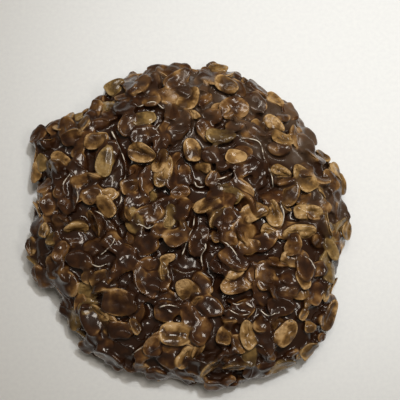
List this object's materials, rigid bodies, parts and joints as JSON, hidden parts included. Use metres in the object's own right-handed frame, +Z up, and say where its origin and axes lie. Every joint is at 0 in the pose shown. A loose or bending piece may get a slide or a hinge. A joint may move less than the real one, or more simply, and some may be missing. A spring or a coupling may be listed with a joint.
{
  "type": "oatmeal cookie",
  "caption": "Large round no-bake oatmeal cookie: a low mound of glossy dark chocolate fudge packed with whole rolled oat flakes, with a flat base.",
  "frame": {"origin": "middle of the flat base, on the surface that the cookie rests on", "axes": "+Z up from the base through the mound, +Y towards the top of the picture, +X towards its right"},
  "size_m": [0.0897, 0.0912, 0.0186],
  "materials": {
    "oat_fudge": "glossy chocolate fudge with fudge-coated oat flakes"
  },
  "bodies": {
    "root": {"cookie": "oat_fudge"}
  },
  "joints": []
}
